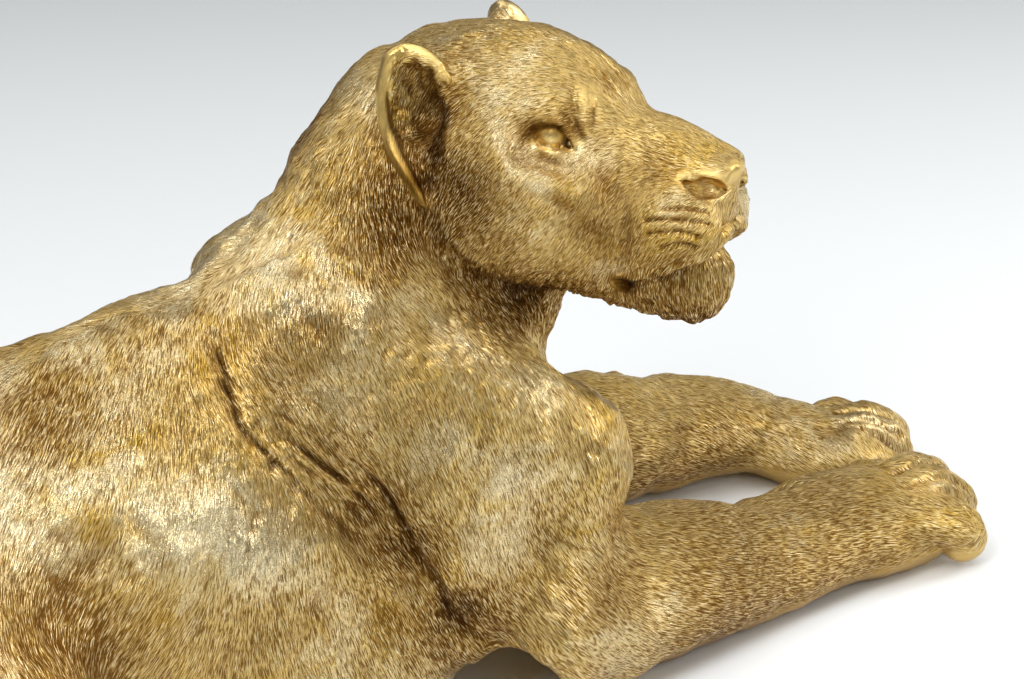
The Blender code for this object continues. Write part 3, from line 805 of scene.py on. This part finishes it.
def patch(points, centre, reach):
    """1 at the centre, falling to 0 at the reach."""
    far = np.linalg.norm(points - centre, axis=1) / reach
    return np.clip(1.6 - 1.6 * far, 0, 1)


def body_only(points):
    """1 on the trunk and legs, 0.25 on the head."""
    return 1 - 0.75 * np.clip(2.2 - np.linalg.norm(points - on_head((-2, 0, -6)), axis=1) / 12, 0, 1)


# Smooth places of the head, in its frame: centre, reach and how smooth
SMOOTH = [((1.4, 3.9, 3.3), 2.0, 0.9), ((15.6, 2.6, -1.6), 1.6, 1.0), ((16.6, 1.0, -0.6), 1.8, 1.0),
          ((-1.0, 6.3, -0.6), 2.9, 0.95), ((1.6, 5.4, -1.2), 1.8, 0.9), ((15.0, 3.4, -1.6), 2.3, 0.95),
          ((12.6, 3.8, -1.8), 1.5, 0.9), ((9.0, 6.2, -13.2), 2.0, 0.8)]


def bare_skin(points):
    """1 where the cast is smooth: eyes, nose, ear rims, brows and forelegs' undersides; some on the face."""
    bare = 0.18 * np.clip(2 - np.linalg.norm(points - on_head((3, 0, -4)), axis=1) / 9, 0, 1)
    for side in (np.eye(3), FLIP):
        for centre, reach, smooth in SMOOTH:
            bare = np.maximum(bare, smooth * patch(points, on_head(np.array(centre) @ side), reach))
        rim = Limb(EAR_RIM, 0).moved(np.array(HEAD_AT), HEAD_AXES, HEAD_SCALE, flip=side is FLIP)
        bare = np.maximum(bare, 0.8 * np.clip(1.4 - np.abs(rim.distance(points)) / 0.25, 0, 1))
    arm = np.clip((points[:, 0] - 30) / 6, 0, 1) * np.clip((4.0 - points[:, 2]) / 1.5, 0, 1)
    return np.maximum(bare, arm * 0.85)


# Painted light and patina: (place, reach, amount), above 0 brown for painted shade and patina, below 0 a
# painted highlight; head rows are in the head's frame
BODY_PAINTED_LIGHT_AND_PATINA = [
    ((-12, -13, 33), 7, -0.7), ((-0.5, -14.5, 33), 7, -0.7), ((-6, -14, 31), 8, -0.5),
    ((-18, -8, 41), 8, 1.0), ((-23, -19, 23), 9, 1.3), ((-15.5, -17, 21.5), 6, 0.5), ((7, -5, 50), 6, -0.8),
    ((9.4, -13.7, 41.4), 6, -0.8), ((18.6, -14.2, 43.2), 6, -0.8), ((19.7, -12.2, 46.6), 6, -0.8),
    ((22, -16.6, 39.8), 6, -0.8), ((29, -15, 38.5), 7, -0.8), ((22, -9, 55), 10, 1.7),
    ((31, -7, 45), 8, 1.3), ((12, -17, 26), 7, 0.8), ((14, -18.5, 24), 4.5, 0.9), ((11, -16.5, 30), 4, 0.8),
    ((18, -18.6, 17), 4.5, 0.9), ((7, -15, 35), 5, 0.5), ((8, -12, 45), 4, 0.8), ((20, -19, 14), 9, 0.9),
    ((32, -21.2, 15.1), 5, 0.9), ((37, -20, 14.5), 5, 0.8), ((50, -14, 8), 14, 1.1),
    ((68, -12, 6), 14, 0.8), ((65, -17.6, 13.3), 8, -0.8), ((86, -8, 9), 6, -0.5), ((85, 8, 8), 5, -0.4),
    ((12, -8, 58), 8, 1.0), ((15, -11, 51.5), 5, 0.9),
]
HEAD_PAINTED_LIGHT_AND_PATINA = [
    ((1.4, 4.7, 4.0), 1.5, -0.7), ((2.2, 1.3, 4.6), 1.8, 1.0), ((0.3, 6.6, 2.9), 1.4, 0.8),
    ((-4, 6, 5), 5, -0.5), ((14, 2, -0.5), 3, -0.5), ((10, 4.2, -0.8), 3, 0.8), ((13, 6.5, -5), 3, -0.3),
    ((15, 3.4, -2), 2.2, -1.0), ((-4.4, 9.7, -1.4), 2, -0.6), ((-2.4, 9.5, -3.4), 2, -0.8),
    ((-0.1, 9.2, -4.4), 2, -0.8), ((-3.4, 10.8, -6.4), 1.8, -0.6), ((-1.9, 10.4, -8.7), 2, -0.6),
    ((1.0, 9.2, -10.0), 2, -0.6), ((13, 3, -14), 8, 0.8), ((13, 4, -10.5), 3, 0.7),
    ((9.4, 6.2, -13.2), 1.6, 3.0), ((-2.4, 7.2, 0.1), 1.0, 2.4), ((-1.2, 7.1, 0.8), 1.0, 2.4),
    ((0.0, 6.9, 0.6), 1.0, 2.4), ((0.9, 6.6, -0.9), 1.1, 2.8), ((-3.0, 7.3, -0.9), 0.9, 2.4),
    ((-1.2, 7.0, -2.1), 0.7, 1.2), ((2, 5, -17), 6, 0.8), ((-6, 10.5, -17.5), 4, 1.2),
    ((-2, 7, -20.5), 5, 1.2), ((-10.4, 9.4, 0.7), 2.5, 0.8), ((-12.2, 9.6, -1.4), 2.8, 3.0),
    ((-10.9, 11.8, -3.5), 1.9, 2.2), ((-10.8, 12.4, -6.5), 1.5, 1.6), ((-4.4, 10.8, -12.5), 4, -0.7),
    ((-1.2, 8.4, -0.4), 1.2, 0.5), ((1.2, 6.1, 1.2), 1.8, 0.9), ((6.0, 6.0, -3.9), 2.4, 0.9),
    ((5.2, 6.4, -8.9), 2.4, 0.8), ((8.6, 7, -7.5), 3.0, 0.9),
]


def patina_and_painted_light(points, normals):
    """How much brown is on the gold: painted shade where the skin faces down and in sheltered places, with
    the cast's own brown; below 0 a painted highlight.
    """
    # Painted shade: brown where the skin faces down
    amount = np.clip(0.25 - normals[:, 2], 0, 1) * 0.8
    for side in (np.eye(3), FLIP):
        for place, reach, gain in BODY_PAINTED_LIGHT_AND_PATINA:
            amount += gain * patch(points, np.array(place) @ side, reach)
        for place, reach, gain in HEAD_PAINTED_LIGHT_AND_PATINA:
            amount += gain * patch(points, on_head(np.array(place) @ side), reach)
    return amount


def thickness_of_fur(points):
    """How far the locks stand out: deep on chin, throat and tail tip, low on the legs and face."""
    depth = np.ones(len(points))
    places = ((on_head((13, 0, -15)), 8, 1.2), (on_head((2, 0, -18)), 9, 1.0), ((30, -6, 46), 12, 0.8),
              ((-28, 29, 3), 9, 1.5), (on_head((3, 0, 0)), 9, -0.5), (on_head((11, 0, -4)), 8, -0.5))
    for centre, reach, gain in places:
        depth += gain * patch(points, np.array(centre), reach)
    return depth


def thinned(statue):
    """The skin away from the kept carving loses triangles until the statue has its number of them."""
    thin = statue.modifiers.new("thinned", "DECIMATE")
    thin.ratio = min(1.0, TRIANGLES / (2 * len(statue.data.polygons)))
    thin.use_collapse_triangulate = True
    thin.vertex_group = "kept"
    thin.invert_vertex_group = True
    graph = bpy.context.evaluated_depsgraph_get()
    statue.data = bpy.data.meshes.new_from_object(statue.evaluated_get(graph))
    statue.modifiers.clear()
    statue.vertex_groups.clear()


def store(mesh, name, values):
    kind = "FLOAT_VECTOR" if values.ndim == 2 else "FLOAT"
    layer = mesh.attributes.new(name, kind, "POINT")
    layer.data.foreach_set("vector" if values.ndim == 2 else "value", values.astype(np.float32).ravel())


def carve(statue, skin):
    """Creases, then locks of fur, then what the finish needs to know at each vertex."""
    points, normals = skin.points(), skin.evened(skin.read("normal"), 2)
    normals /= np.linalg.norm(normals, axis=1)[:, None]
    bare = bare_skin(points)
    fine = (bare > KEPT_SMOOTH) & (points[:, 2] > KEPT_ABOVE)
    for crease in all_creases():
        height = crease.relief(points, normals)
        points += normals * height[:, None]
        fine |= np.abs(height) > KEPT_RELIEF
    statue.vertex_groups.new(name="kept").add(np.flatnonzero(fine).tolist(), 1.0, "REPLACE")
    skin.write(points)
    flow = fur_flow(points, normals)
    stand = LOCK_DEPTH * thickness_of_fur(points) * (1 - bare)
    relief = locks(skin, flow) * stand + swellings(points) * SWELL_DEPTH * body_only(points)
    points += normals * relief[:, None]
    points[:, 2] = np.maximum(points[:, 2], 0)
    skin.write(points)
    hollow = np.zeros(skin.count)
    for rounds, gain in ((6, 3.0), (30, 1.0), (120, 0.35)):
        hollow += gain * ((skin.evened(points, rounds) - points) * normals).sum(1)
    store(statue.data, "hollow", hollow)
    store(statue.data, "bare", bare)
    # The painted shade and highlights with the patina, evened over the skin
    store(statue.data, "patina_and_painted_light", skin.evened(patina_and_painted_light(points, normals), 6))


def nearest(points, seeds):
    """For each point, its nearest seed and the distances to that one and to the next one."""
    first = np.empty(len(points), int)
    gaps = np.empty((len(points), 2))
    for start in range(0, len(points), 20000):
        rows = slice(start, start + 20000)
        part = points[rows]
        far = (part ** 2).sum(1)[:, None] - 2 * part @ seeds.T + (seeds ** 2).sum(1)
        two = np.argpartition(far, 1, axis=1)[:, :2]
        value = np.take_along_axis(far, two, 1)
        order = np.argsort(value, axis=1)
        two, value = np.take_along_axis(two, order, 1), np.take_along_axis(value, order, 1)
        first[rows] = two[:, 0]
        gaps[rows] = np.sqrt(np.clip(value, 0, None))
    return first, gaps


def lay_strokes(mesh):
    """Stroke coordinates at each corner: along and across the fur in patches, and each patch's weight.
    The weight falls to 0 at a patch's edge, where the patches of another layer take over."""
    count = len(mesh.vertices)
    flat = np.empty(count * 3, np.float32)
    mesh.vertices.foreach_get("co", flat)
    points = flat.reshape(-1, 3).astype(float)
    mesh.vertices.foreach_get("normal", flat)
    normals = flat.reshape(-1, 3).astype(float)
    flow = fur_flow(points / CM, normals)
    corners = np.empty(len(mesh.loops), np.int32)
    mesh.loops.foreach_get("vertex_index", corners)
    faces = corners.reshape(-1, 3)
    chance = np.random.default_rng(SEED)
    for layer in range(LAYERS):
        seeds = points[chance.choice(count, PATCHES, replace=False)]
        owner = nearest(points, seeds)[0]
        for _ in range(2):
            filled = np.maximum(np.bincount(owner, minlength=PATCHES), 1)[:, None]
            seeds = np.stack([np.bincount(owner, axis, PATCHES) for axis in points.T], 1) / filled
            owner, gaps = nearest(points, seeds)
        way = np.stack([np.bincount(owner, axis, PATCHES) for axis in flow.T], 1)
        up = np.stack([np.bincount(owner, axis, PATCHES) for axis in normals.T], 1)
        way /= np.linalg.norm(way, axis=1)[:, None] + 1e-9
        side = np.cross(up, way)
        side /= np.linalg.norm(side, axis=1)[:, None] + 1e-9
        finer = 1 + 0.6 * np.clip(2 - np.linalg.norm(seeds / CM - on_head((0, 0, -4)), axis=1) / 11, 0, 1)
        own = owner[faces[:, 0]].repeat(3)
        offset = points[corners] - seeds[own]
        gap = np.linalg.norm(offset, axis=1)
        other = np.where(owner[corners] == own, gaps[corners, 1], gaps[corners, 0])
        shift = chance.uniform(0, 90, (PATCHES, 2))
        along = (offset * way[own]).sum(1) * finer[own] / STROKE_LENGTH + shift[own, 0]
        across = (offset * side[own]).sum(1) * finer[own] ** 0.5 / STROKE_WIDTH + shift[own, 1]
        weight = np.clip((other - gap) / PATCH_FADE, 0, 1)
        layer_map = mesh.attributes.new("strokes_%d" % layer, "FLOAT_VECTOR", "CORNER")
        values = np.stack([along, across, weight], 1).astype(np.float32)
        layer_map.data.foreach_set("vector", values.ravel())


class Wire:
    """A socket's value; arithmetic on it adds Math nodes."""

    def __init__(self, tree, socket):
        self.tree, self.socket = tree, socket

    def math(self, operation, *values, clamp=False):
        node = self.tree.nodes.new("ShaderNodeMath")
        node.operation = operation
        node.use_clamp = clamp
        for place, value in zip(node.inputs, values):
            if isinstance(value, Wire):
                self.tree.links.new(value.socket, place)
            else:
                place.default_value = value
        return Wire(self.tree, node.outputs[0])

    def __add__(self, other):
        return self.math("ADD", self, other)

    def __radd__(self, other):
        return self.math("ADD", other, self)

    def __sub__(self, other):
        return self.math("SUBTRACT", self, other)

    def __rsub__(self, other):
        return self.math("SUBTRACT", other, self)

    def __mul__(self, other):
        return self.math("MULTIPLY", self, other)

    def __rmul__(self, other):
        return self.math("MULTIPLY", other, self)

    def __truediv__(self, other):
        return self.math("DIVIDE", self, other)

    def __rtruediv__(self, other):
        return self.math("DIVIDE", other, self)

    def held(self):
        """The value held between 0 and 1."""
        return self.math("ADD", self, 0.0, clamp=True)


class Finish:
    """A material whose nodes are added by type, with their settings and their sockets' values."""

    def __init__(self, name):
        self.material = bpy.data.materials.new(name)
        self.material.use_nodes = True
        self.tree = self.material.node_tree
        self.tree.nodes.clear()

    def node(self, kind, settings=None, out=0, **sockets):
        node = self.tree.nodes.new("ShaderNode" + kind)
        for name, value in (settings or {}).items():
            setattr(node, name, value)
        for name, value in sockets.items():
            place = node.inputs[int(name[1:])] if name[1:].isdigit() else node.inputs[name.replace("_", " ")]
            if isinstance(value, Wire):
                self.tree.links.new(value.socket, place)
            else:
                place.default_value = value
        return Wire(self.tree, node.outputs[out])

    def mix(self, share, first, second):
        """Two colours mixed by a share."""
        return self.node("Mix", {"data_type": "RGBA"}, 2, i0=share, i6=first, i7=second)

    def attribute(self, name, out):
        return self.node("Attribute", {"attribute_name": name}, out)

    def finished(self, **sockets):
        """The material, with its shader made of the given sockets."""
        shader = self.node("BsdfPrincipled", **sockets)
        self.tree.links.new(shader.socket, self.tree.nodes.new("ShaderNodeOutputMaterial").inputs[0])
        return self.material


# Gold tones, from the pale gold of wear and painted highlights on the ridges to the patina and painted shade
# in the hollows
HIGHLIGHT_GOLD = (0.97, 0.85, 0.56, 1)
PALE_GOLD = (0.74, 0.52, 0.175, 1)
WARM_GOLD = (0.68, 0.43, 0.065, 1)
DULL_GOLD = (0.38, 0.245, 0.065, 1)
SHADE_AND_PATINA_GOLD = (0.33, 0.178, 0.028, 1)
UMBER = (0.145, 0.056, 0.006, 1)
SHADE_UMBER = (0.045, 0.017, 0.003, 1)


def fur_strokes(finish):
    """Height of the strokes, about 0.5 on average: each layer's stretched noise by its patch's weight."""
    total, power = 0.0, 0.001
    for layer in range(LAYERS):
        place = finish.attribute("strokes_%d" % layer, 1)
        weight = finish.node("SeparateXYZ", None, 2, Vector=place)
        grain = finish.node("TexNoise", {"noise_dimensions": "2D"}, Vector=place, Scale=1.0, Detail=2.0,
                            Roughness=0.6, Distortion=0.25)
        total = (grain - 0.5) * weight + total
        power = weight * weight + power
    return total / power.math("SQRT", power) + 0.5


def gold_finish():
    finish = Finish("gold_cast")
    node, mix = finish.node, finish.mix
    place = node("TexCoord", out=3)
    hollow = finish.attribute("hollow", 2)
    # Painted shade and painted highlights with patina, read from the vertices
    old = finish.attribute("patina_and_painted_light", 2)
    furred = 1 - finish.attribute("bare", 2)
    strokes = fur_strokes(finish)
    patches = node("TexNoise", Vector=place, Scale=11.0, Detail=5.0, Roughness=0.62, Distortion=0.6)
    tints = node("TexNoise", Vector=place, Scale=16.0, Detail=3.0, Roughness=0.6, Distortion=1.2)
    dullness = node("TexNoise", Vector=place, Scale=14.0, Detail=5.0, Roughness=0.65, Distortion=0.8)
    grain = node("TexNoise", Vector=place, Scale=700.0, Detail=2.0, Roughness=0.6)

    ridge = (strokes - 0.5) * furred + 0.5
    # Painted highlight: the crests of the strokes
    crest_highlight = ((ridge - 0.55) * 6.0).held()
    # Wear and painted highlight: random pale patches and the strokes' ridges, held back where the painted
    # shade lies
    wear_and_highlight = ((patches - 0.49) * 5.5 + (strokes - 0.5) * 2.0 - old * 0.6).held()
    deep = ((hollow - 0.02) * 1.2).held()
    # Brown patina in the strokes' grooves, more in hollows, and more again as painted shade where the painted
    # shade lies
    groove = ((0.52 - wear_and_highlight * 0.05 + deep * 0.10 + old * 0.04 - ridge) * 7.0).held()
    groove = groove * (0.80 - wear_and_highlight * 0.32 + old * 0.1) * (furred * 0.7 + 0.3)
    # Painted shade: near black in the deepest hollows and where the painted shade is strongest
    shade_black = ((hollow - 0.7) * 0.8).held() * furred * 0.8
    shade_black = shade_black + ((old - 1.4) * 0.6 + (0.5 - ridge) * 2.5).held() * ((old - 0.9) * 1.2).held()
    colour = mix(wear_and_highlight * 0.8, PALE_GOLD, HIGHLIGHT_GOLD)
    colour = mix(((dullness - 0.52) * 6.0).held() * furred * 0.6, colour, DULL_GOLD)
    colour = mix(((tints - 0.54) * 6.0).held() * furred * 0.8, colour, WARM_GOLD)
    # Painted shade and patina: brown where the skin faces down, in sheltered places and in hollows
    colour = mix((old * 0.45).held(), colour, SHADE_AND_PATINA_GOLD)
    colour = mix(deep * 0.4, colour, SHADE_AND_PATINA_GOLD)
    # Painted highlight: pale gold on the crests of the strokes
    colour = mix(crest_highlight * 0.6, colour, HIGHLIGHT_GOLD)
    colour = mix(groove, colour, UMBER)
    # Painted shade: near black
    colour = mix(shade_black.held(), colour, SHADE_UMBER)

    roughness = (0.33 - wear_and_highlight * 0.07 + groove * 0.25 + (grain - 0.5) * 0.15).held()
    height = ridge + grain * 0.06
    bump = node("Bump", Strength=1.0, Distance=STROKE_DEPTH, Height=height)
    return finish.finished(Base_Color=colour, Roughness=roughness, Metallic=1.0, Normal=bump)


# Floor: its colour near the statue and far from it, and its radius, m
FLOOR_NEAR = (0.90, 0.93, 0.95, 1)
FLOOR_FAR = (0.90, 0.945, 0.98, 1)
FLOOR_RADIUS = 14


def pale_floor():
    """Nearly white, a little cooler far from the statue."""
    finish = Finish("studio_floor")
    place = finish.node("TexCoord", out=3)
    far = finish.node("VectorMath", {"operation": "LENGTH"}, 1, i0=place)
    share = ((far - 0.35) * 0.5).held()
    return finish.finished(Base_Color=finish.mix(share, FLOOR_NEAR, FLOOR_FAR), Roughness=0.7)


# Soft boxes: name, place, size and watts, all turned to one point above the floor
BOXES = (("overhead", (0.1, -0.5, 2.4), (3.0, 2.2), 44), ("back", (-0.8, 1.6, 2.0), (2.4, 1.0), 11),
         ("front", (0.3, -2.3, 1.7), (2.2, 0.9), 18), ("key", (-1.7, -1.3, 2.2), (0.8, 1.2), 36),
         ("right", (2.6, -0.4, 1.3), (0.6, 1.4), 25))
LIT_POINT = (0.1, 0, 0.15)
WORLD_COLOUR = (1.0, 0.94, 0.85, 1)
WORLD_STRENGTH = 0.16


def soft_boxes():
    """The world's even light and the soft boxes."""
    world = bpy.data.worlds.new("studio")
    bpy.context.scene.world = world
    world.use_nodes = True
    world.node_tree.nodes["Background"].inputs["Color"].default_value = WORLD_COLOUR
    world.node_tree.nodes["Background"].inputs["Strength"].default_value = WORLD_STRENGTH
    for name, place, size, watts in BOXES:
        light = bpy.data.lights.new(name, "AREA")
        light.shape = "RECTANGLE"
        light.size, light.size_y = size
        light.energy = watts
        box = bpy.data.objects.new(name, light)
        box.location = place
        box.rotation_euler = (Vector(place) - Vector(LIT_POINT)).to_track_quat("Z", "Y").to_euler()
        bpy.context.scene.collection.objects.link(box)


def floor():
    bpy.ops.mesh.primitive_circle_add(vertices=96, radius=FLOOR_RADIUS, fill_type="NGON")
    ground = bpy.context.object
    ground.name = "studio_floor"
    ground.data.materials.append(pale_floor())


# Camera: lens and sensor width, mm, azimuth and elevation in degrees, place in cm of live animal
LENS = 85
SENSOR_WIDTH = 36
CAMERA_AZIMUTH = -29.5
CAMERA_ELEVATION = 22.5
CAMERA_AT = (-79.2, -201.9, 130.9)


def camera():
    lens = bpy.data.cameras.new("photo_view")
    lens.lens = LENS
    lens.sensor_width = SENSOR_WIDTH
    view = bpy.data.objects.new("photo_view", lens)
    view.location = Vector(CAMERA_AT) * CM
    view.rotation_euler = (math.radians(90 - CAMERA_ELEVATION), 0, math.radians(CAMERA_AZIMUTH))
    bpy.context.scene.collection.objects.link(view)
    bpy.context.scene.camera = view


def lioness():
    lumps = form()
    statue, skin = fine_skin(lumps)
    skin.settle(lumps, SETTLE_ROUNDS, 0.5)
    carve(statue, skin)
    thinned(statue)
    lay_strokes(statue.data)
    statue.data.materials.clear()
    statue.data.materials.append(gold_finish())
    statue.data.shade_smooth()
    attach(statue, "root")
    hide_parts("lioness")


lioness()
floor()
soft_boxes()
camera()
bpy.context.scene.view_settings.view_transform = "Standard"
